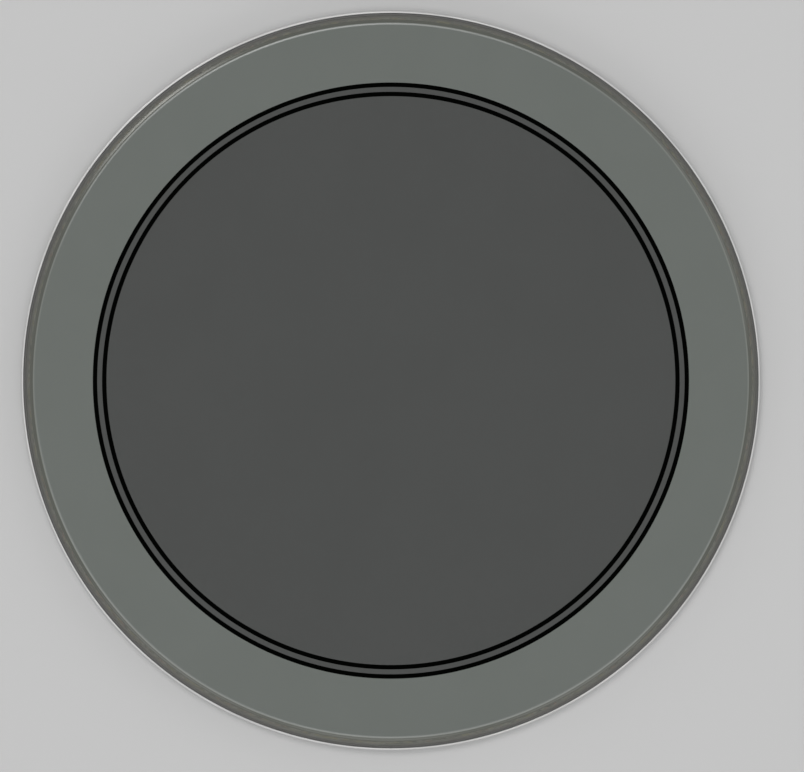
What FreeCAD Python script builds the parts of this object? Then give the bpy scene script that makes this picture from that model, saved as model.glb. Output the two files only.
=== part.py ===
"""Bass drum head: a polyester film with a formed collar, locked by cast resin into a rolled aluminium hoop.

Millimetres, +Z up towards the playing face. The origin is the centre of the hoop's underside, so the head
stands on z = 0, as it does when it lies on a bench with its playing face up. Every piece is turned about Z.
"""

import FreeCAD
import Part

import math
import os

INCH = 25.4
MIL = INCH / 1000

# Drum that the head fits
SHELL_DIAMETER = 22 * INCH
SHELL_CLEARANCE = 0.8

# Hoop: an open-topped channel, rolled to a ring and butted at one seam; its walls thicken towards the rim
CHANNEL_WIDTH = 5.6
CHANNEL_HEIGHT = 9.5
CHANNEL_FLOOR = 1.0
WALL_AT_FLOOR = 1.0
WALL_AT_RIM = 1.6
FOOT_CHAMFER = 1.0
RIM_CHAMFER = 0.4
SEAM_GAP = 0.3
SEAM_ANGLE = -90.0

# Splice that lines up the channel's two ends, hidden on its floor
SPLICE_LENGTH = 40.0
SPLICE_HEIGHT = 1.4
SPLICE_SIDE_CLEARANCE = 0.3

# Playing film: flat face, crown bent down to a crease, straight collar, edge locked in the channel
FILM_THICKNESS = 10 * MIL
COLLAR_HEIGHT = 10.5
CROWN_INSET = 5.5
CROWN_BEND = 5.8
CREASE_SLOPE = 44.0
FILM_RIM_GAP = 0.5
FILM_EDGE_CLEARANCE = 0.4

# Perforations in the film's locked edge, which the resin flows through
KEY_COUNT = 20
KEY_WIDTH = 9.0
KEY_EDGE_DISTANCE = 0.9
KEY_COVER = 1.4

# Resin cast in the channel, drawn up against the film and lower at the outer rim
RESIN_RIM_DEPTH = 1.0
RESIN_CLIMB = 0.3

# Damping ring under the film, bonded along its outer edge and free at its inner edge; its width counts from
# the drum's own diameter, as such rings are named
RING_WIDTH = 2 * INCH
RING_THICKNESS = 10 * MIL
RING_CROWN_CLEARANCE = 0.6
BOND_THICKNESS = 0.1
BOND_WIDTH = 12.0
BOND_EDGE_SETBACK = 0.5

# Two printed lines; the outer one covers the damping ring's inner edge
PRINT_WIDTH = INCH / 8
PRINT_GAP = 4.0
PRINT_THICKNESS = 0.05

# Radii and heights worked out from the driving dimensions
BORE_RADIUS = SHELL_DIAMETER / 2 + SHELL_CLEARANCE
HOOP_RADIUS = BORE_RADIUS + CHANNEL_WIDTH
FLANGE_RADIUS = BORE_RADIUS + WALL_AT_RIM + FILM_RIM_GAP + FILM_THICKNESS / 2
CROWN_START = BORE_RADIUS - CROWN_INSET
PLAYING_HEIGHT = CHANNEL_HEIGHT + COLLAR_HEIGHT
FILM_MIDDLE = PLAYING_HEIGHT - FILM_THICKNESS / 2
FILM_UNDERSIDE = PLAYING_HEIGHT - FILM_THICKNESS
RESIN_LOW = CHANNEL_HEIGHT - RESIN_RIM_DEPTH
RESIN_HIGH = RESIN_LOW + RESIN_CLIMB
SPLICE_TOP = CHANNEL_FLOOR + SPLICE_HEIGHT
FILM_EDGE = SPLICE_TOP + FILM_EDGE_CLEARANCE
KEY_BOTTOM = FILM_EDGE + KEY_EDGE_DISTANCE
KEY_TOP = RESIN_LOW - KEY_COVER
BOND_UNDERSIDE = FILM_UNDERSIDE - BOND_THICKNESS
RING_UNDERSIDE = BOND_UNDERSIDE - RING_THICKNESS
RING_INNER = SHELL_DIAMETER / 2 - RING_WIDTH
RING_OUTER = CROWN_START - RING_CROWN_CLEARANCE
BOND_OUTER = RING_OUTER - BOND_EDGE_SETBACK

ORIGIN = FreeCAD.Vector(0, 0, 0)
AXIS = FreeCAD.Vector(0, 0, 1)
FULL_TURN = 360.0


def at(radius, height):
    """A point of a section, in the XZ half plane."""
    return FreeCAD.Vector(radius, 0, height)


def line(start, end):
    """A straight edge."""
    return Part.LineSegment(start, end).toShape()


def direction(start, end):
    """The unit vector from start to end."""
    return (end - start).normalize()


def polygon(points):
    """The closed outline through the points."""
    return [line(start, end) for start, end in zip(points, points[1:] + points[:1])]


def turned(edges, angle=FULL_TURN, start=SEAM_ANGLE):
    """The solid that a closed outline makes when it is turned about Z, from the seam unless told otherwise."""
    section = Part.Face(Part.Wire(Part.__sortEdges__(edges)))
    solid = section.revolve(ORIGIN, AXIS, angle)
    solid.rotate(ORIGIN, AXIS, start)
    return solid


def annulus(inner, outer, bottom, top):
    """A flat ring of rectangular section."""
    return turned(polygon([at(inner, bottom), at(outer, bottom), at(outer, top), at(inner, top)]))


def arc_degrees(length, radius):
    """The angle that an arc of this length takes at this radius."""
    return math.degrees(length / radius)


def wall_thickness(height):
    """Thickness of the channel's walls at a height, tapering from the floor to the rim."""
    rise = (height - CHANNEL_FLOOR) / (CHANNEL_HEIGHT - CHANNEL_FLOOR)
    return WALL_AT_FLOOR + rise * (WALL_AT_RIM - WALL_AT_FLOOR)


def cavity_inside(height):
    """The channel's inside face nearest to the drum, at a height."""
    return at(BORE_RADIUS + wall_thickness(height), height)


def cavity_outside(height):
    """The channel's inside face farthest from the drum, at a height."""
    return at(HOOP_RADIUS - wall_thickness(height), height)


def make_hoop_channel():
    """The channel, open upwards, short of a full turn by the butt seam."""
    outline = polygon([
        at(BORE_RADIUS + FOOT_CHAMFER, 0),
        at(HOOP_RADIUS - FOOT_CHAMFER, 0),
        at(HOOP_RADIUS, FOOT_CHAMFER),
        at(HOOP_RADIUS, CHANNEL_HEIGHT - RIM_CHAMFER),
        at(HOOP_RADIUS - RIM_CHAMFER, CHANNEL_HEIGHT),
        cavity_outside(CHANNEL_HEIGHT),
        cavity_outside(CHANNEL_FLOOR),
        cavity_inside(CHANNEL_FLOOR),
        cavity_inside(CHANNEL_HEIGHT),
        at(BORE_RADIUS, CHANNEL_HEIGHT),
        at(BORE_RADIUS, FOOT_CHAMFER),
    ])
    gap = arc_degrees(SEAM_GAP, HOOP_RADIUS)
    return turned(outline, FULL_TURN - gap, SEAM_ANGLE + gap / 2)


def make_hoop_splice():
    """A short curved bar on the channel's floor, under both ends of the channel."""
    inner = BORE_RADIUS + wall_thickness(SPLICE_TOP) + SPLICE_SIDE_CLEARANCE
    outer = HOOP_RADIUS - wall_thickness(SPLICE_TOP) - SPLICE_SIDE_CLEARANCE
    outline = polygon([
        at(inner, CHANNEL_FLOOR),
        at(outer, CHANNEL_FLOOR),
        at(outer, SPLICE_TOP),
        at(inner, SPLICE_TOP),
    ])
    sweep = arc_degrees(SPLICE_LENGTH, FLANGE_RADIUS)
    return turned(outline, sweep, SEAM_ANGLE - sweep / 2)


def film_corners(offset):
    """Corners of the film's face that lies this far above its middle: axis, crown, crease, foot, locked edge."""
    slope = math.radians(CREASE_SLOPE)
    reach = CROWN_BEND * math.tan(slope / 2)
    crown = at(CROWN_START + reach, FILM_MIDDLE)
    crease = crown + at(math.cos(slope), -math.sin(slope)) * reach
    middle = [at(0, FILM_MIDDLE), crown, crease, at(FLANGE_RADIUS, RESIN_HIGH), at(FLANGE_RADIUS, FILM_EDGE)]
    normals = []
    for start, end in zip(middle, middle[1:]):
        along = direction(start, end)
        normals.append(at(-along.z, along.x))
    normals = [normals[0]] + normals + [normals[-1]]
    corners = []
    for point, before, after in zip(middle, normals, normals[1:]):
        corners.append(point + (before + after) * (offset / (1 + before.dot(after))))
    return corners


def film_face(offset):
    """Edges along the film's face that lies this far above its middle, from the axis to the locked edge."""
    axis, crown, crease, foot, edge = film_corners(offset)
    bend_start = crown - at((crease - crown).Length, 0)
    chord_middle = (bend_start + crease) / 2
    quarter_turn = math.radians(CREASE_SLOPE) / 4
    sagitta = (crease - chord_middle).Length * math.tan(quarter_turn)
    bend_middle = chord_middle + direction(chord_middle, crown) * sagitta
    return [
        line(axis, bend_start),
        Part.Arc(bend_start, bend_middle, crease).toShape(),
        line(crease, foot),
        line(foot, edge),
    ]


def make_film_blank():
    """The formed film before its edge is perforated."""
    above = film_corners(FILM_THICKNESS / 2)
    below = film_corners(-FILM_THICKNESS / 2)
    ends = [line(above[0], below[0]), line(above[-1], below[-1])]
    return turned(film_face(FILM_THICKNESS / 2) + film_face(-FILM_THICKNESS / 2) + ends)


def make_perforations():
    """Cutters for the row of slots in the film's locked edge."""
    depth = 4 * FILM_THICKNESS
    corner = FreeCAD.Vector(FLANGE_RADIUS - depth / 2, -KEY_WIDTH / 2, KEY_BOTTOM)
    slots = []
    for i in range(KEY_COUNT):
        slot = Part.makeBox(depth, KEY_WIDTH, KEY_TOP - KEY_BOTTOM, corner)
        slot.rotate(ORIGIN, AXIS, SEAM_ANGLE + (i + 0.5) * FULL_TURN / KEY_COUNT)
        slots.append(slot)
    return Part.makeCompound(slots)


def make_resin_lock(film, splice):
    """Resin that fills the channel round the film's edge and through its perforations."""
    outline = polygon([
        cavity_inside(CHANNEL_FLOOR),
        cavity_outside(CHANNEL_FLOOR),
        cavity_outside(RESIN_LOW),
        at(FLANGE_RADIUS, RESIN_HIGH),
        cavity_inside(RESIN_HIGH),
    ])
    return turned(outline).cut(film).cut(splice)


def make_print_ring(middle_radius):
    """One printed line on the playing face."""
    half = PRINT_WIDTH / 2
    return annulus(middle_radius - half, middle_radius + half, PLAYING_HEIGHT, PLAYING_HEIGHT + PRINT_THICKNESS)


def make_parts():
    """Every piece of the head, by name."""
    splice = make_hoop_splice()
    film = make_film_blank().cut(make_perforations())
    return {
        "hoop_channel": make_hoop_channel(),
        "hoop_splice": splice,
        "resin_lock": make_resin_lock(film, splice),
        "playing_film": film,
        "damping_ring": annulus(RING_INNER, RING_OUTER, RING_UNDERSIDE, BOND_UNDERSIDE),
        "damping_ring_bond": annulus(BOND_OUTER - BOND_WIDTH, BOND_OUTER, BOND_UNDERSIDE, FILM_UNDERSIDE),
        "outer_print_ring": make_print_ring(RING_INNER),
        "inner_print_ring": make_print_ring(RING_INNER - PRINT_WIDTH - PRINT_GAP),
    }


def main():
    os.makedirs("parts", exist_ok=True)
    for name, shape in make_parts().items():
        solids = shape.Solids
        print(f"{name}: {len(solids)} solid, valid {shape.isValid()}, {shape.Volume / 1000:.3f} cm3")
        Part.makeCompound(solids).exportStep(f"parts/{name}.step")


main()
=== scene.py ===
"""Looks of the bass drum head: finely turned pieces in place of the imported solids, with procedural finishes.

Sizes are in millimetres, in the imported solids' frame, and become metres where a mesh or a light is made.
"""

import math

import bmesh
import bpy
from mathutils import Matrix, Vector, noise


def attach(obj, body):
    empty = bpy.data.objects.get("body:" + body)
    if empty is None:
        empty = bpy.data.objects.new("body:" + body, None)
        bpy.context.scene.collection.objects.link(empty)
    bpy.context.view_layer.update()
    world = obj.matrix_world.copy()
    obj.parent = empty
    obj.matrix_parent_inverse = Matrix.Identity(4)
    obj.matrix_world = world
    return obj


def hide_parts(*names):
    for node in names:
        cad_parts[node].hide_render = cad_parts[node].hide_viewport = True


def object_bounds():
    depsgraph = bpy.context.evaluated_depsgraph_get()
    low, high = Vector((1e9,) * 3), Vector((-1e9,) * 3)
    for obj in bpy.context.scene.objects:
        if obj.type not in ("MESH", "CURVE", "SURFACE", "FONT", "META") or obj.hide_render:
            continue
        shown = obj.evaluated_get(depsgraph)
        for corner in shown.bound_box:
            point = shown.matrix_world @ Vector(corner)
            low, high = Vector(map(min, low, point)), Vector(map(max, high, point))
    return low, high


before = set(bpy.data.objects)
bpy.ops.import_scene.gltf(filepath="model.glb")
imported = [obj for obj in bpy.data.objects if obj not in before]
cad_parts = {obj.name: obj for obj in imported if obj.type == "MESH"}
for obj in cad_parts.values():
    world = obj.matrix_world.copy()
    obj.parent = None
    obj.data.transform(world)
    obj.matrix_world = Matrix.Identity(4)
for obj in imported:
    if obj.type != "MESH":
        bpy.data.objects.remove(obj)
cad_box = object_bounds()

MM = 0.001
INCH = 25.4
MIL = INCH / 1000

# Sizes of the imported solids
BORE_RADIUS = 280.2
HOOP_RADIUS = 285.8
CHANNEL_HEIGHT = 9.5
CHANNEL_FLOOR = 1.0
WALL_AT_FLOOR = 1.0
WALL_AT_RIM = 1.6
SEAM_GAP = 0.3
SEAM_ANGLE = math.radians(-90)
FILM_THICKNESS = 10 * MIL
PLAYING_HEIGHT = 20.0
FLANGE_RADIUS = 282.427
FILM_EDGE = 2.8
KEY_COUNT = 20
KEY_BOTTOM = 3.7
KEY_TOP = 7.1
RESIN_LOW = 8.5
RESIN_HIGH = 8.8
RING_INNER = 228.6
RING_OUTER = 274.1
RING_THICKNESS = 10 * MIL
BOND_INNER = 261.6
BOND_OUTER = 273.6
BOND_THICKNESS = 0.1
PRINT_WIDTH = INCH / 8
PRINT_THICKNESS = 0.05
OUTER_PRINT_RADIUS = 228.6
INNER_PRINT_RADIUS = 221.425

# Corners of the film's bend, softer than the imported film's and within 0.6 mm of it
CROWN_RUN = 2.0
CROWN_RADIUS = 276.432
SHOULDER_RADIUS = 278.299
SHOULDER_HEIGHT = 18.517
CREASE_RADIUS = 279.323
CREASE_HEIGHT = 17.528
KNEE_RADIUS = 279.877
KNEE_HEIGHT = 16.706

# Height below which the film has the collar's finish
COLLAR_TOP = 18.028

# Roundings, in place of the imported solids' chamfers and sharp corners
FOOT_ROUNDING = 1.6
OUTER_RIM_ROUNDING = 0.55
RIM_ROUNDING = 0.35
CAVITY_ROUNDING = 0.3
CROWN_ROUNDING = 5.22
SHOULDER_ROUNDING = 8.2
CREASE_ROUNDING = 7.9
KNEE_ROUNDING = 0.8
COLLAR_FOOT_ROUNDING = 0.6
SHEET_ROUNDING = 0.06
INK_ROUNDING = 0.02

# Resin surface: how it climbs the film and the channel's wall, and how uneven it set, in patches of a size
RESIN_SLACK = 0.015
RESIN_STEPS = 14
FILM_CLIMB = 0.35
FILM_CLIMB_REACH = 0.35
WALL_CLIMB = 0.1
WALL_CLIMB_REACH = 0.22
RESIN_UNEVEN = 0.06
RESIN_PATCH = 9.0

# Turned meshes: steps round the axis, along a rounded corner and across half a key, and what stays sharp
SEGMENTS = 720
ARC_STEPS = 8
KEY_HALF_SEGMENTS = 2
SHARP_ANGLE = math.radians(40)

# Radii of the rings on the film's flat face, each with half as many steps as the one before
FLAT_RINGS = (250.0, 190.0, 140.0, 95.0, 55.0)

# How far thin pieces sink into what they lie on, widening of each side of a printed line, and a tolerance
CONTACT_SINK = 0.01
INK_SPREAD = 0.12
HAIR = 0.001

# Radii between which one finish fades into the next, and zones with blurred ends
RING_EDGE_FADE = (228.4, 228.8)
# Zone of the painted highlight along the crown
CROWN_HIGHLIGHT_FADE = (275.3, 275.9)
# Zone of the painted shade beyond the crown, where the bend turns steep
CROWN_SHADE_FADE = (276.3, 277.0)
CROWN_DULL_FADE = (277.0, 277.8)
# Zone of the painted shade at the collar's crease
CREASE_SHADE_ZONE = (278.5, 278.9, 0.25)
MARKS_ZONE = (279.0, 281.0, 0.45)
# Fade into the collar's paler foot, partly the hoop's rim seen through and partly painted light
COLLAR_FOOT_LIGHT_FADE = (280.4, 281.4)
# Fade into the painted shade where the resin meets the channel's wall
RESIN_WALL_SHADE_FADE = (282.8, 283.8)

# Colours, most of them in pairs that a finish drifts between
SMOKE = ((0.0508, 0.0534, 0.0514, 1), (0.0526, 0.0552, 0.0532, 1))
OVER_RING = ((0.1192, 0.1311, 0.1205, 1), (0.1226, 0.1345, 0.124, 1))
# Painted highlight: a pale band along the crown bend
CROWN_PAINTED_HIGHLIGHT = (0.168, 0.179, 0.164, 1)
# Painted shade: a dark band beyond the crown, where the bend turns steep
CROWN_PAINTED_SHADE = (0.074, 0.078, 0.065, 1)
COLLAR = ((0.11, 0.114, 0.097, 1), (0.122, 0.126, 0.107, 1))
# Paler collar foot: partly the hoop's rim seen through the film, partly painted light against the shade at the
# foot
COLLAR_FOOT_RIM_AND_PAINTED_LIGHT = (0.208, 0.208, 0.191, 1)
# Painted shade at the collar's crease
COLLAR_CREASE_PAINTED_SHADE = (0.104, 0.104, 0.088, 1)
ALUMINIUM = ((0.53, 0.53, 0.525, 1), (0.47, 0.47, 0.465, 1))
RESIN = ((0.107, 0.107, 0.102, 1), (0.119, 0.118, 0.108, 1))
RESIN_PIT = (0.085, 0.083, 0.077, 1)
# Painted shade where the resin meets the channel's wall
RESIN_WALL_PAINTED_SHADE = (0.062, 0.062, 0.06, 1)
RING = ((0.17, 0.183, 0.17, 1), (0.185, 0.198, 0.185, 1))
ADHESIVE = ((0.17, 0.18, 0.165, 1), (0.2, 0.205, 0.19, 1))
INK = ((0.0003, 0.0005, 0.0003, 1), (0.0007, 0.0009, 0.0007, 1))
FLOOR = (0.52, 0.52, 0.52, 1)
WHITE = (1, 1, 1, 1)

# Marks on the collar, pale, olive and rusty: length, width and height in millimetres, noise levels, colour
COLLAR_MARKS = (
    (4.4, 3.0, 14.0, 0.38, 0.64, (0.168, 0.172, 0.147, 1)),
    (5.6, 3.0, 14.0, 0.46, 0.7, (0.17, 0.168, 0.12, 1)),
    (4.4, 2.0, 12.0, 0.54, 0.74, (0.176, 0.144, 0.12, 1)),
)

# Patterns in the finishes: size of an even one, or length, width and height of a drawn-out one
FACE_HAZE = 60.0
FACE_GRAIN = 3.0
FACE_WAVE = 30.0
COLLAR_CLOUD = (14.0, 1.6, 14.0)
ROLLING_MARKS = (26.0, 0.16, 0.3)
DULL_PATCHES = (30.0, 3.0, 2.5)
RESIN_CLOUD = (14.0, 1.4, 14.0)
RESIN_GRAIN = 1.6
BUBBLE_SPACING = 2.4
RING_HAZE = 40.0
RING_GRAIN = 2.5
RING_WAVE = 18.0
ADHESIVE_FLECK = 1.2
INK_GRAIN = 0.5

# How much finer noise a pattern has in it
SOFT_DETAIL = 1.0
USUAL_DETAIL = 2.0
FINE_DETAIL = 3.0

# Levels between which a pattern goes from nothing to full; the first holds most of any noise
NOISE_SPAN = (0.3, 0.7)
COLLAR_CLOUD_SPAN = (0.35, 0.65)
DULL_SPAN = (0.35, 0.75)
RESIN_CLOUD_SPAN = (0.35, 0.7)
BUBBLE_SPAN = (0.05, 0.14)
FLECK_SPAN = (0.55, 0.75)
FULL_SPAN = (0.0, 1.0)

# Depth of the relief in a finish
FACE_WAVE_DEPTH = 0.02
ROLLING_DEPTH = 0.01
RESIN_DEPTH = 0.008
RING_WAVE_DEPTH = 0.015
FLECK_DEPTH = 0.01
INK_DEPTH = 0.004

# Roughness between which a finish drifts, and what the crown adds to the face's
FACE_ROUGHNESS = (0.13, 0.16)
CROWN_DULLING = (0.0, 0.07)
COLLAR_ROUGHNESS = (0.29, 0.31)
ALUMINIUM_ROUGHNESS = (0.44, 0.56)
RESIN_ROUGHNESS = (0.38, 0.5)
RING_ROUGHNESS = (0.3, 0.38)
ADHESIVE_ROUGHNESS = (0.45, 0.6)
INK_ROUGHNESS = (0.6, 0.7)
FLOOR_ROUGHNESS = 0.9

# Indices of refraction, shine of the dull surfaces, and how much of the collar is not see-through
POLYESTER_IOR = 1.57
RESIN_IOR = 1.55
INK_SHINE = 0.005
FLOOR_SHINE = 0.1
COLLAR_COVER = 0.7

# Places of the sockets that a Mix node uses for colours
MIX_FACTOR = 0
MIX_FIRST = 6
MIX_SECOND = 7
MIX_RESULT = 2

# Photograph: pixels, millimetres per pixel and the pixel of the head's centre; the camera's lens and sensor
IMAGE_WIDTH = 804
IMAGE_HEIGHT = 772
MM_PER_PIXEL = 0.773
CENTRE_PIXEL = (390.9, 380.6)
LENS = 500.0
SENSOR = 36.0

# Studio: brightness overhead and at its walls, and half the floor's side in metres
ZENITH_LEVEL = 0.4
HORIZON_LEVEL = 0.8
FLOOR_REACH = 40

# Soft lamps: name, degrees round from +X, degrees from straight up, degrees wide, level on a white card
LAMPS = (
    ("key_right", 95, 22, 26, 0.123),
    ("key_left", 123, 24, 26, 0.11),
    ("fill_left", 230, 22.5, 32, 0.095),
    ("fill_right", 297, 23, 31, 0.088),
    ("front_left", 232, 66, 30, 0.082),
    ("front", 267, 66, 30, 0.08),
    ("front_right", 303, 66, 30, 0.075),
    ("side", 30, 60, 40, 0.1),
)

# Lamps for the gleam along the collar: degrees round from +X and share of the level, each at two heights
EDGE_LAMPS = ((124, 0.57), (131.5, 0.6), (140, 0.42))
EDGE_HEIGHTS = (("edge", 67, 0.118), ("low_edge", 83, 0.074))
EDGE_WIDTH = 14
EDGE_TINT = (1.0, 0.99, 0.94)


def vectors(corners):
    """Corners of an outline as 2-D vectors with their roundings."""
    return [(Vector((radius, height)), rounding) for radius, height, rounding in corners]


def corner_arc(before, here, after, rounding):
    """Points of the arc that rounds a corner, or the corner itself where it has no rounding."""
    if rounding == 0:
        return [here]
    back = (before - here).normalized()
    ahead = (after - here).normalized()
    half = back.angle(ahead) / 2
    centre = here + (back + ahead).normalized() * (rounding / math.sin(half))
    first = here + back * (rounding / math.tan(half)) - centre
    last = here + ahead * (rounding / math.tan(half)) - centre
    start = math.atan2(first.y, first.x)
    sweep = (math.atan2(last.y, last.x) - start + math.pi) % math.tau - math.pi
    turns = [start + sweep * i / ARC_STEPS for i in range(ARC_STEPS + 1)]
    return [centre + Vector((math.cos(turn), math.sin(turn))) * rounding for turn in turns]


def rounded_loop(corners):
    """A closed outline with its corners rounded."""
    corners = vectors(corners)
    outline = []
    for i, (here, rounding) in enumerate(corners):
        before = corners[i - 1][0]
        after = corners[(i + 1) % len(corners)][0]
        outline += corner_arc(before, here, after, rounding)
    return outline


def rounded_path(corners):
    """An open line with its inner corners rounded."""
    corners = vectors(corners)
    path = [corners[0][0]]
    for before, here, after in zip(corners, corners[1:], corners[2:]):
        path += corner_arc(before[0], here[0], after[0], here[1])
    return path + [corners[-1][0]]


def offset_path(path, distance):
    """The line that runs this far to the left of an open line."""
    normals = []
    for start, end in zip(path, path[1:]):
        along = (end - start).normalized()
        normals.append(Vector((-along.y, along.x)))
    normals = [normals[0]] + normals + [normals[-1]]
    moved = []
    for spot, before, after in zip(path, normals, normals[1:]):
        moved.append(spot + (before + after) * (distance / (1 + before.dot(after))))
    return moved


def turned_grid(bm, outline, sweep, columns):
    """Columns of vertices, one copy of the outline at each step round the axis from the seam."""
    start = SEAM_ANGLE + (math.tau - sweep) / 2
    grid = []
    for i in range(columns):
        turn = start + sweep * i / SEGMENTS
        heading = Vector((math.cos(turn), math.sin(turn), 0))
        grid.append([bm.verts.new((heading * spot.x + Vector((0, 0, spot.y))) * MM) for spot in outline])
    return grid


def skin(bm, grid, rows, skipped=()):
    """Faces between neighbouring columns, apart from the skipped pairs of column and row."""
    for i in range(SEGMENTS):
        here = grid[i]
        there = grid[(i + 1) % len(grid)]
        for j in range(rows):
            if (i, j) not in skipped:
                k = (j + 1) % len(here)
                bm.faces.new((here[j], there[j], there[k], here[k]))


def key_columns():
    """Columns of each key in the film's locked edge, halfway between even steps from the seam."""
    pitch = SEGMENTS // KEY_COUNT
    for i in range(KEY_COUNT):
        middle = i * pitch + pitch // 2
        yield range(middle - KEY_HALF_SEGMENTS, middle + KEY_HALF_SEGMENTS)


def outline_edge(outline, radius, low, high):
    """Index of the outline's edge that runs between two heights at a radius."""
    for j, (start, end) in enumerate(zip(outline, outline[1:] + outline[:1])):
        ends = sorted((start.y, end.y))
        if abs(start.x - radius) < HAIR and abs(ends[0] - low) < HAIR and abs(ends[1] - high) < HAIR:
            return j
    raise ValueError("the outline has no such edge")


def key_walls(bm, grid, outer, inner):
    """Walls that join the two faces of a key, whose rows face each other."""
    for columns in key_columns():
        for i in columns:
            here = grid[i]
            there = grid[i + 1]
            bm.faces.new((here[outer], there[outer], there[inner + 1], here[inner + 1]))
            bm.faces.new((here[outer + 1], there[outer + 1], there[inner], here[inner]))
        for i in (columns.start, columns.stop):
            end = grid[i]
            bm.faces.new((end[outer], end[outer + 1], end[inner], end[inner + 1]))


def skin_with_keys(bm, grid, rows, outer, inner):
    """Faces of a turned piece whose two facing rows are joined at the keys."""
    skipped = {(i, row) for columns in key_columns() for i in columns for row in (outer, inner)}
    skin(bm, grid, rows, skipped)
    key_walls(bm, grid, outer, inner)


def fill_disc(bm, ring, height):
    """Flat faces inside a ring of vertices, with half as many at each smaller ring."""
    for radius in FLAT_RINGS[1:]:
        step = [(vert.co.xy.normalized() * radius * MM).to_3d() for vert in ring[::2]]
        smaller = [bm.verts.new((spot.x, spot.y, height * MM)) for spot in step]
        for i, near in enumerate(smaller):
            after = smaller[(i + 1) % len(smaller)]
            first, middle, last = ring[2 * i], ring[2 * i + 1], ring[(2 * i + 2) % len(ring)]
            bm.faces.new((first, middle, near))
            bm.faces.new((middle, after, near))
            bm.faces.new((middle, last, after))
        ring = smaller
    middle = bm.verts.new((0, 0, height * MM))
    for i, vert in enumerate(ring):
        bm.faces.new((vert, ring[(i + 1) % len(ring)], middle))


def finish_mesh(bm, name, materials, node):
    """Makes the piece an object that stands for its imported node."""
    bmesh.ops.recalc_face_normals(bm, faces=bm.faces)
    mesh = bpy.data.meshes.new(name)
    bm.to_mesh(mesh)
    bm.free()
    for material in materials:
        mesh.materials.append(material)
    mesh.shade_smooth()
    mesh.set_sharp_from_angle(angle=SHARP_ANGLE)
    piece = bpy.data.objects.new(name, mesh)
    bpy.context.scene.collection.objects.link(piece)
    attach(piece, "root")
    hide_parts(node)


def wall_thickness(height):
    """Thickness of the channel's walls at a height."""
    rise = (height - CHANNEL_FLOOR) / (CHANNEL_HEIGHT - CHANNEL_FLOOR)
    return WALL_AT_FLOOR + rise * (WALL_AT_RIM - WALL_AT_FLOOR)


def make_hoop(material):
    """The rolled channel, open upwards and butted at the seam."""
    inside_floor = BORE_RADIUS + WALL_AT_FLOOR
    outside_floor = HOOP_RADIUS - WALL_AT_FLOOR
    inside_rim = BORE_RADIUS + WALL_AT_RIM
    outside_rim = HOOP_RADIUS - WALL_AT_RIM
    outline = rounded_loop([
        (BORE_RADIUS, 0, FOOT_ROUNDING),
        (HOOP_RADIUS, 0, FOOT_ROUNDING),
        (HOOP_RADIUS, CHANNEL_HEIGHT, OUTER_RIM_ROUNDING),
        (outside_rim, CHANNEL_HEIGHT, RIM_ROUNDING),
        (outside_floor, CHANNEL_FLOOR, CAVITY_ROUNDING),
        (inside_floor, CHANNEL_FLOOR, CAVITY_ROUNDING),
        (inside_rim, CHANNEL_HEIGHT, RIM_ROUNDING),
        (BORE_RADIUS, CHANNEL_HEIGHT, RIM_ROUNDING),
    ])
    bm = bmesh.new()
    grid = turned_grid(bm, outline, math.tau - SEAM_GAP / HOOP_RADIUS, SEGMENTS + 1)
    skin(bm, grid, len(outline))
    ends = [bm.faces.new(grid[0]), bm.faces.new(grid[-1])]
    bmesh.ops.triangulate(bm, faces=ends)
    finish_mesh(bm, "hoop", [material], "hoop_channel")


def film_path():
    """Middle line of the film, from the flat face to the locked edge."""
    middle = PLAYING_HEIGHT - FILM_THICKNESS / 2
    return rounded_path([
        (FLAT_RINGS[0], middle, 0),
        (CROWN_RADIUS - CROWN_RUN, middle, 0),
        (CROWN_RADIUS, middle, CROWN_ROUNDING),
        (SHOULDER_RADIUS, SHOULDER_HEIGHT, SHOULDER_ROUNDING),
        (CREASE_RADIUS, CREASE_HEIGHT, CREASE_ROUNDING),
        (KNEE_RADIUS, KNEE_HEIGHT, KNEE_ROUNDING),
        (FLANGE_RADIUS, RESIN_HIGH, COLLAR_FOOT_ROUNDING),
        (FLANGE_RADIUS, KEY_TOP, 0),
        (FLANGE_RADIUS, KEY_BOTTOM, 0),
        (FLANGE_RADIUS, FILM_EDGE, 0),
    ])


def make_film(face_finish, collar_finish):
    """The formed film with the keys cut through its locked edge."""
    half = FILM_THICKNESS / 2
    path = film_path()
    outline = offset_path(path, -half) + offset_path(path, half)[::-1]
    bm = bmesh.new()
    grid = turned_grid(bm, outline, math.tau, SEGMENTS)
    outer = outline_edge(outline, FLANGE_RADIUS + half, KEY_BOTTOM, KEY_TOP)
    inner = outline_edge(outline, FLANGE_RADIUS - half, KEY_BOTTOM, KEY_TOP)
    skin_with_keys(bm, grid, len(outline) - 1, outer, inner)
    fill_disc(bm, [column[0] for column in grid], PLAYING_HEIGHT - FILM_THICKNESS)
    fill_disc(bm, [column[-1] for column in grid], PLAYING_HEIGHT)
    for face in bm.faces:
        face.material_index = int(face.calc_center_median().z < COLLAR_TOP * MM)
    finish_mesh(bm, "film", [face_finish, collar_finish], "playing_film")


def resin_top(film_face, wall):
    """Points along the resin's open surface, from the channel's wall to the film, drawn up at both."""
    points = []
    for i in range(RESIN_STEPS + 1):
        radius = wall + (film_face - wall) * i / RESIN_STEPS
        at_film = FILM_CLIMB * math.exp(-(radius - film_face) / FILM_CLIMB_REACH)
        at_wall = WALL_CLIMB * math.exp(-(wall - radius) / WALL_CLIMB_REACH)
        points.append(Vector((radius, RESIN_LOW + at_film + at_wall)))
    return points


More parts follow.
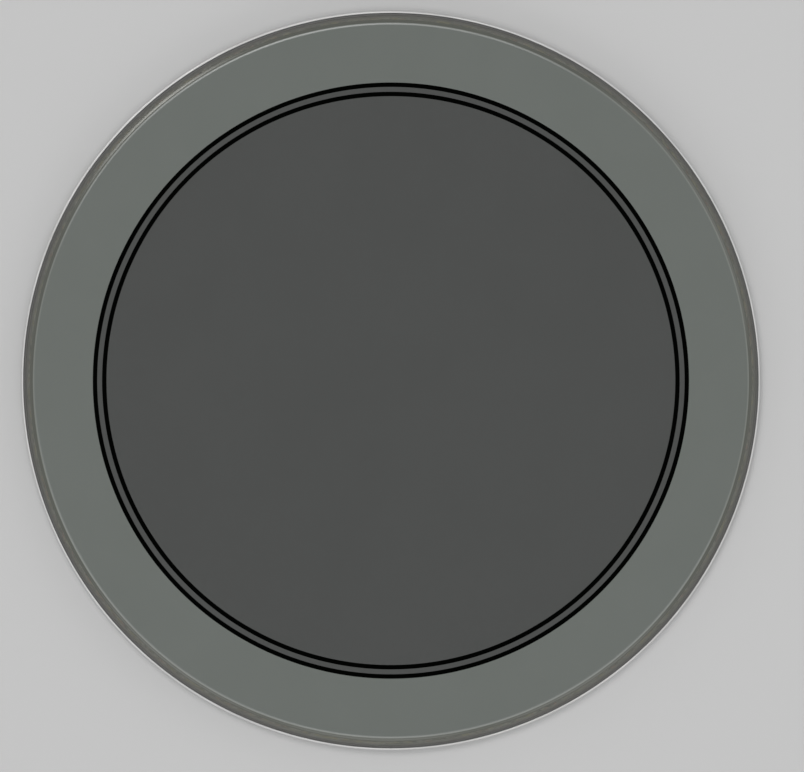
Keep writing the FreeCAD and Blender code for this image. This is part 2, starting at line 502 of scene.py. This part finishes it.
def make_resin(material):
    """The cast resin, with the film's groove in it and the keys across the groove."""
    groove_out = FLANGE_RADIUS + FILM_THICKNESS / 2 + RESIN_SLACK
    groove_in = FLANGE_RADIUS - FILM_THICKNESS / 2 - RESIN_SLACK
    wall_out = HOOP_RADIUS - wall_thickness(RESIN_LOW)
    wall_in = BORE_RADIUS + wall_thickness(RESIN_HIGH)
    rest = [
        (groove_out, KEY_TOP),
        (groove_out, KEY_BOTTOM),
        (groove_out, FILM_EDGE - RESIN_SLACK),
        (groove_in, FILM_EDGE - RESIN_SLACK),
        (groove_in, KEY_BOTTOM),
        (groove_in, KEY_TOP),
        (groove_in, RESIN_HIGH),
        (wall_in, RESIN_HIGH),
        (BORE_RADIUS + WALL_AT_FLOOR, CHANNEL_FLOOR),
        (HOOP_RADIUS - WALL_AT_FLOOR, CHANNEL_FLOOR),
    ]
    outline = resin_top(groove_out, wall_out) + [Vector(spot) for spot in rest]
    bm = bmesh.new()
    grid = turned_grid(bm, outline, math.tau, SEGMENTS)
    inner = outline_edge(outline, groove_in, KEY_BOTTOM, KEY_TOP)
    outer = outline_edge(outline, groove_out, KEY_BOTTOM, KEY_TOP)
    skin_with_keys(bm, grid, len(outline), outer, inner)
    for vert in bm.verts:
        if vert.co.z > (RESIN_LOW - HAIR) * MM:
            vert.co.z += RESIN_UNEVEN * MM * noise.noise(vert.co / (RESIN_PATCH * MM))
    finish_mesh(bm, "resin", [material], "resin_lock")


def make_annulus(name, inner, outer, bottom, top, rounding, material, node):
    """A flat turned ring with softened edges."""
    outline = rounded_loop([
        (inner, bottom, rounding),
        (outer, bottom, rounding),
        (outer, top, rounding),
        (inner, top, rounding),
    ])
    bm = bmesh.new()
    grid = turned_grid(bm, outline, math.tau, SEGMENTS)
    skin(bm, grid, len(outline))
    finish_mesh(bm, name, [material], node)


def make_damping_ring(ring_finish, bond_finish):
    """The ring under the film and the adhesive that holds its outer edge."""
    bond_top = PLAYING_HEIGHT - FILM_THICKNESS
    ring_top = bond_top - BOND_THICKNESS
    ring_bottom = ring_top - RING_THICKNESS
    make_annulus("ring", RING_INNER, RING_OUTER, ring_bottom, ring_top, SHEET_ROUNDING,
                 ring_finish, "damping_ring")
    make_annulus("bond", BOND_INNER, BOND_OUTER, ring_top - CONTACT_SINK, bond_top + CONTACT_SINK,
                 INK_ROUNDING, bond_finish, "damping_ring_bond")


def make_print(material):
    """The two printed lines on the playing face."""
    for name, radius in (("outer_print", OUTER_PRINT_RADIUS), ("inner_print", INNER_PRINT_RADIUS)):
        inner = radius - PRINT_WIDTH / 2 - INK_SPREAD
        outer = radius + PRINT_WIDTH / 2 + INK_SPREAD
        make_annulus(name, inner, outer, PLAYING_HEIGHT - CONTACT_SINK, PLAYING_HEIGHT + PRINT_THICKNESS,
                     INK_ROUNDING, material, name + "_ring")


def connect(tree, node, inputs):
    """Sets or links a node's inputs."""
    for key, value in inputs.items():
        if isinstance(value, bpy.types.NodeSocket):
            tree.links.new(value, node.inputs[key])
        else:
            node.inputs[key].default_value = value


def add(tree, kind, inputs, **settings):
    """A new shader node with its inputs and settings."""
    made = tree.nodes.new("ShaderNode" + kind)
    for key, value in settings.items():
        setattr(made, key, value)
    connect(tree, made, inputs)
    return made


def calc(tree, operation, first, second):
    """One step of arithmetic."""
    return add(tree, "Math", {0: first, 1: second}, operation=operation).outputs[0]


def ease(tree, value, low, high, out_low=0.0, out_high=1.0):
    """A smooth change from one level to another as a value goes from low to high."""
    inputs = {"Value": value, "From Min": low, "From Max": high, "To Min": out_low, "To Max": out_high}
    return add(tree, "MapRange", inputs, interpolation_type="SMOOTHSTEP").outputs[0]


def between(tree, value, low, high, blur):
    """One between two limits and nothing outside, with soft ends."""
    rise = ease(tree, value, low - blur, low + blur)
    fall = ease(tree, value, high - blur, high + blur, 1.0, 0.0)
    return calc(tree, "MULTIPLY", rise, fall)


def blend(tree, factor, first, second):
    """A mix of two colours."""
    inputs = {MIX_FACTOR: factor, MIX_FIRST: first, MIX_SECOND: second}
    return add(tree, "Mix", inputs, data_type="RGBA").outputs[MIX_RESULT]


def object_place(tree):
    """The place on the piece, in metres."""
    return add(tree, "TexCoord", {}).outputs["Object"]


def polar(tree):
    """Distance from the axis, unit direction from it and height, in millimetres."""
    place = object_place(tree)
    flat = add(tree, "VectorMath", {0: place, 1: (1 / MM, 1 / MM, 0)}, operation="MULTIPLY").outputs[0]
    radius = add(tree, "VectorMath", {0: flat}, operation="LENGTH").outputs["Value"]
    heading = add(tree, "VectorMath", {0: flat}, operation="NORMALIZE").outputs[0]
    height = calc(tree, "MULTIPLY", add(tree, "SeparateXYZ", {0: place}).outputs["Z"], 1 / MM)
    return radius, heading, height


def streaks(tree, spot, length, width, tall, detail=USUAL_DETAIL):
    """Noise drawn out round the axis: its length along the turn, its width across it and how tall it is."""
    radius, heading, height = spot
    along = add(tree, "VectorMath", {0: heading, "Scale": HOOP_RADIUS / length}, operation="SCALE").outputs[0]
    across = add(tree, "CombineXYZ", {"Z": calc(tree, "DIVIDE", radius, width)}).outputs[0]
    place = add(tree, "VectorMath", {0: along, 1: across}, operation="ADD").outputs[0]
    rise = calc(tree, "DIVIDE", height, tall)
    inputs = {"Vector": place, "W": rise, "Scale": 1.0, "Detail": detail}
    return add(tree, "TexNoise", inputs, noise_dimensions="4D").outputs["Fac"]


def mottle(tree, size, detail=USUAL_DETAIL):
    """Even noise of a size in millimetres."""
    inputs = {"Vector": object_place(tree), "Scale": 1 / (size * MM), "Detail": detail}
    return add(tree, "TexNoise", inputs).outputs["Fac"]


def relief(tree, height, depth):
    """A normal that follows a height pattern of a depth in millimetres."""
    return add(tree, "Bump", {"Height": height, "Distance": depth * MM}).outputs[0]


def new_material(name):
    """An empty material with its shader."""
    material = bpy.data.materials.new(name)
    material.use_nodes = True
    tree = material.node_tree
    return material, tree, tree.nodes["Principled BSDF"]


def face_material():
    """Smoke-grey satin polyester of the playing face, lighter over the damping ring, with a painted highlight
    along the crown and painted shade beyond it where the bend turns steep.
    """
    material, tree, shader = new_material("film_face")
    radius = polar(tree)[0]
    haze = ease(tree, mottle(tree, FACE_HAZE), *NOISE_SPAN)
    smoke = blend(tree, haze, *SMOKE)
    over_ring = blend(tree, haze, *OVER_RING)
    colour = blend(tree, ease(tree, radius, *RING_EDGE_FADE), smoke, over_ring)
    # Painted highlight along the crown bend
    colour = blend(tree, ease(tree, radius, *CROWN_HIGHLIGHT_FADE), colour, CROWN_PAINTED_HIGHLIGHT)
    # Painted shade beyond the crown, where the bend turns steep
    colour = blend(tree, ease(tree, radius, *CROWN_SHADE_FADE), colour, CROWN_PAINTED_SHADE)
    gloss = ease(tree, mottle(tree, FACE_GRAIN), *NOISE_SPAN, *FACE_ROUGHNESS)
    duller = ease(tree, radius, *CROWN_DULL_FADE, *CROWN_DULLING)
    connect(tree, shader, {
        "Base Color": colour,
        "Roughness": calc(tree, "ADD", gloss, duller),
        "IOR": POLYESTER_IOR,
        "Normal": relief(tree, mottle(tree, FACE_WAVE), FACE_WAVE_DEPTH),
    })
    return material


def collar_material():
    """Clearer film of the collar, with drawn-out cloudy marks, painted shade at its crease, and a paler foot
    that is partly the hoop's rim seen through and partly painted light against the shade there.
    """
    material, tree, shader = new_material("film_collar")
    spot = polar(tree)
    radius = spot[0]
    cloud = ease(tree, streaks(tree, spot, *COLLAR_CLOUD), *COLLAR_CLOUD_SPAN)
    colour = blend(tree, cloud, *COLLAR)
    middle = between(tree, radius, *MARKS_ZONE)
    for length, width, tall, low, high, tint in COLLAR_MARKS:
        mark = ease(tree, streaks(tree, spot, length, width, tall, SOFT_DETAIL), low, high)
        colour = blend(tree, calc(tree, "MULTIPLY", mark, middle), colour, tint)
    # Paler foot: partly the hoop's rim seen through the film, partly painted light against the shade there
    colour = blend(tree, ease(tree, radius, *COLLAR_FOOT_LIGHT_FADE), colour, COLLAR_FOOT_RIM_AND_PAINTED_LIGHT)
    # Painted shade at the crease
    colour = blend(tree, between(tree, radius, *CREASE_SHADE_ZONE), colour, COLLAR_CREASE_PAINTED_SHADE)
    connect(tree, shader, {
        "Base Color": colour,
        "Roughness": ease(tree, cloud, *FULL_SPAN, *COLLAR_ROUGHNESS),
        "IOR": POLYESTER_IOR,
        "Alpha": COLLAR_COVER,
    })
    return material


def aluminium_material():
    """Rolled aluminium with fine rolling marks round the hoop."""
    material, tree, shader = new_material("hoop_aluminium")
    spot = polar(tree)
    marks = streaks(tree, spot, *ROLLING_MARKS, FINE_DETAIL)
    dull = ease(tree, streaks(tree, spot, *DULL_PATCHES), *DULL_SPAN)
    connect(tree, shader, {
        "Base Color": blend(tree, dull, *ALUMINIUM),
        "Metallic": 1.0,
        "Roughness": ease(tree, marks, *NOISE_SPAN, *ALUMINIUM_ROUGHNESS),
        "Normal": relief(tree, marks, ROLLING_DEPTH),
    })
    return material


def resin_material():
    """Cloudy grey resin with drawn-out olive marks and small bubbles, with painted shade at its outer edge
    where it meets the channel's wall.
    """
    material, tree, shader = new_material("cast_resin")
    spot = polar(tree)
    cloud = ease(tree, streaks(tree, spot, *RESIN_CLOUD), *RESIN_CLOUD_SPAN)
    cells = {"Vector": object_place(tree), "Scale": 1 / (BUBBLE_SPACING * MM)}
    bubbles = add(tree, "TexVoronoi", cells).outputs["Distance"]
    pit = ease(tree, bubbles, *BUBBLE_SPAN)
    colour = blend(tree, pit, RESIN_PIT, blend(tree, cloud, *RESIN))
    # Painted shade where the resin meets the channel's wall
    colour = blend(tree, ease(tree, spot[0], *RESIN_WALL_SHADE_FADE), colour, RESIN_WALL_PAINTED_SHADE)
    connect(tree, shader, {
        "Base Color": colour,
        "Roughness": ease(tree, cloud, *FULL_SPAN, *RESIN_ROUGHNESS),
        "IOR": RESIN_IOR,
        "Normal": relief(tree, calc(tree, "ADD", pit, mottle(tree, RESIN_GRAIN)), RESIN_DEPTH),
    })
    return material


def ring_material():
    """Satin polyester of the damping ring."""
    material, tree, shader = new_material("ring_film")
    haze = ease(tree, mottle(tree, RING_HAZE), *NOISE_SPAN)
    connect(tree, shader, {
        "Base Color": blend(tree, haze, *RING),
        "Roughness": ease(tree, mottle(tree, RING_GRAIN), *NOISE_SPAN, *RING_ROUGHNESS),
        "IOR": POLYESTER_IOR,
        "Normal": relief(tree, mottle(tree, RING_WAVE, FINE_DETAIL), RING_WAVE_DEPTH),
    })
    return material


def adhesive_material():
    """Thin even adhesive with pale flecks."""
    material, tree, shader = new_material("ring_adhesive")
    fleck = ease(tree, mottle(tree, ADHESIVE_FLECK, FINE_DETAIL), *FLECK_SPAN)
    connect(tree, shader, {
        "Base Color": blend(tree, fleck, *ADHESIVE),
        "Roughness": ease(tree, fleck, *FULL_SPAN, *ADHESIVE_ROUGHNESS),
        "Normal": relief(tree, fleck, FLECK_DEPTH),
    })
    return material


def ink_material():
    """Dense matt black printing ink."""
    material, tree, shader = new_material("black_ink")
    grain = ease(tree, mottle(tree, INK_GRAIN, FINE_DETAIL), *NOISE_SPAN)
    connect(tree, shader, {
        "Base Color": blend(tree, grain, *INK),
        "Roughness": ease(tree, grain, *FULL_SPAN, *INK_ROUGHNESS),
        "Specular IOR Level": INK_SHINE,
        "Normal": relief(tree, grain, INK_DEPTH),
    })
    return material


def make_floor():
    """A plain pale floor under the head."""
    material, tree, shader = new_material("floor")
    connect(tree, shader, {
        "Base Color": FLOOR,
        "Roughness": FLOOR_ROUGHNESS,
        "Specular IOR Level": FLOOR_SHINE,
    })
    bm = bmesh.new()
    bmesh.ops.create_grid(bm, x_segments=1, y_segments=1, size=FLOOR_REACH)
    mesh = bpy.data.meshes.new("floor")
    bm.to_mesh(mesh)
    bm.free()
    mesh.materials.append(material)
    floor = bpy.data.objects.new("floor", mesh)
    floor.location.z = cad_box[0].z
    bpy.context.scene.collection.objects.link(floor)


def make_world():
    """A plain studio, brighter towards its walls than overhead."""
    world = bpy.data.worlds.new("studio")
    world.use_nodes = True
    tree = world.node_tree
    heading = add(tree, "TexCoord", {}).outputs["Generated"]
    height = add(tree, "SeparateXYZ", {0: heading}).outputs["Z"]
    inputs = {"Value": height, "To Min": HORIZON_LEVEL, "To Max": ZENITH_LEVEL}
    level = add(tree, "MapRange", inputs).outputs[0]
    connect(tree, tree.nodes["Background"], {"Color": WHITE, "Strength": level})
    bpy.context.scene.world = world


def make_lamp(name, azimuth, from_zenith, width, level, tint=(1, 1, 1)):
    """A wide soft lamp far off, at an angle round from +X and an angle from straight up, in degrees."""
    lamp = bpy.data.lights.new(name, "SUN")
    lamp.angle = math.radians(width)
    lamp.energy = level * math.pi
    lamp.color = tint
    tilt = math.radians(from_zenith)
    turn = math.radians(azimuth)
    towards = Vector((math.sin(tilt) * math.cos(turn), math.sin(tilt) * math.sin(turn), math.cos(tilt)))
    holder = bpy.data.objects.new(name, lamp)
    holder.rotation_mode = "QUATERNION"
    holder.rotation_quaternion = towards.to_track_quat("Z", "Y")
    bpy.context.scene.collection.objects.link(holder)
    return holder


def make_lamps():
    """The studio's lamps; those for the collar's gleam light no dull surface."""
    for lamp in LAMPS:
        make_lamp(*lamp)
    for azimuth, share in EDGE_LAMPS:
        for name, from_zenith, level in EDGE_HEIGHTS:
            lamp = make_lamp(name, azimuth, from_zenith, EDGE_WIDTH, level * share, EDGE_TINT)
            lamp.visible_diffuse = False


def make_camera():
    """A long lens straight above the head, with the head where the photograph has it."""
    data = bpy.data.cameras.new("camera")
    data.sensor_width = SENSOR
    data.lens = LENS
    camera = bpy.data.objects.new("camera", data)
    right = (IMAGE_WIDTH / 2 - CENTRE_PIXEL[0]) * MM_PER_PIXEL
    down = (IMAGE_HEIGHT / 2 - CENTRE_PIXEL[1]) * MM_PER_PIXEL
    distance = LENS / SENSOR * IMAGE_WIDTH * MM_PER_PIXEL
    plane = (CHANNEL_HEIGHT + PLAYING_HEIGHT) / 2
    camera.location = Vector((right, -down, plane + distance)) * MM
    bpy.context.scene.collection.objects.link(camera)
    bpy.context.scene.camera = camera


def make_head():
    """Every piece of the head."""
    aluminium = aluminium_material()
    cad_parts["hoop_splice"].material_slots[0].material = aluminium
    make_hoop(aluminium)
    make_film(face_material(), collar_material())
    make_resin(resin_material())
    make_damping_ring(ring_material(), adhesive_material())
    make_print(ink_material())


make_camera()
make_world()
make_lamps()
make_floor()
make_head()
bpy.context.scene.view_settings.view_transform = "Standard"
